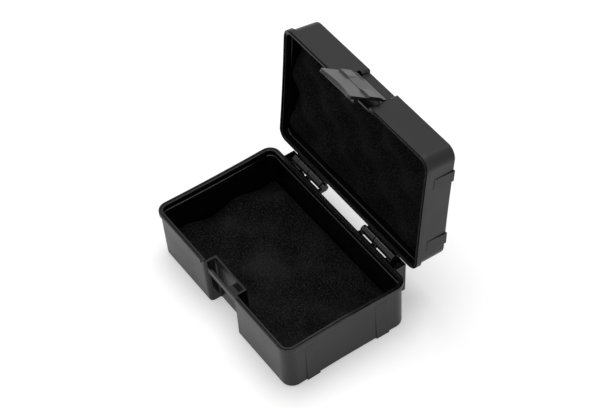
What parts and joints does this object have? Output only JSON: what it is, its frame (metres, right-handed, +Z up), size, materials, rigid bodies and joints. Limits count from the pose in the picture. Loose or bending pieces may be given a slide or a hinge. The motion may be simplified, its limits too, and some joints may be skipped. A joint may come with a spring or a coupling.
{
  "type": "hard case",
  "caption": "Small moulded case with a hinged lid, a front snap latch and convoluted foam pads inside",
  "frame": {"origin": "centre of the flat underside of the base, midway along and across the shut case", "axes": "+X along the length, -Y to the latch, +Y to the hinge, +Z up"},
  "size_m": [0.1702, 0.1496, 0.1725],
  "materials": {
    "shell": "black moulded plastic with a fine even grain",
    "latch": "black moulded plastic, slightly smoother than the shell",
    "pin": "plain drawn steel wire",
    "foam": "dark open-cell foam"
  },
  "bodies": {
    "base": {"base_shell": "shell", "base_foam": "foam", "hinge_pin_left": "pin", "hinge_pin_right": "pin"},
    "lid": {"lid_shell": "shell", "lid_foam": "foam", "latch_pin": "pin"},
    "latch": {"latch": "latch"}
  },
  "joints": [
    {"name": "lid_hinge", "type": "hinge", "parent": "base", "child": "lid", "pos_m": [0, 0.05835, 0.0432], "axis": [1, 0, 0], "range_deg": [0, 96.9]},
    {"name": "latch_pivot", "type": "hinge", "parent": "lid", "child": "latch", "pos_m": [0, 0.08517, 0.14829], "axis": [-1, 0, 0], "range_deg": [-30.2, 60]}
  ]
}
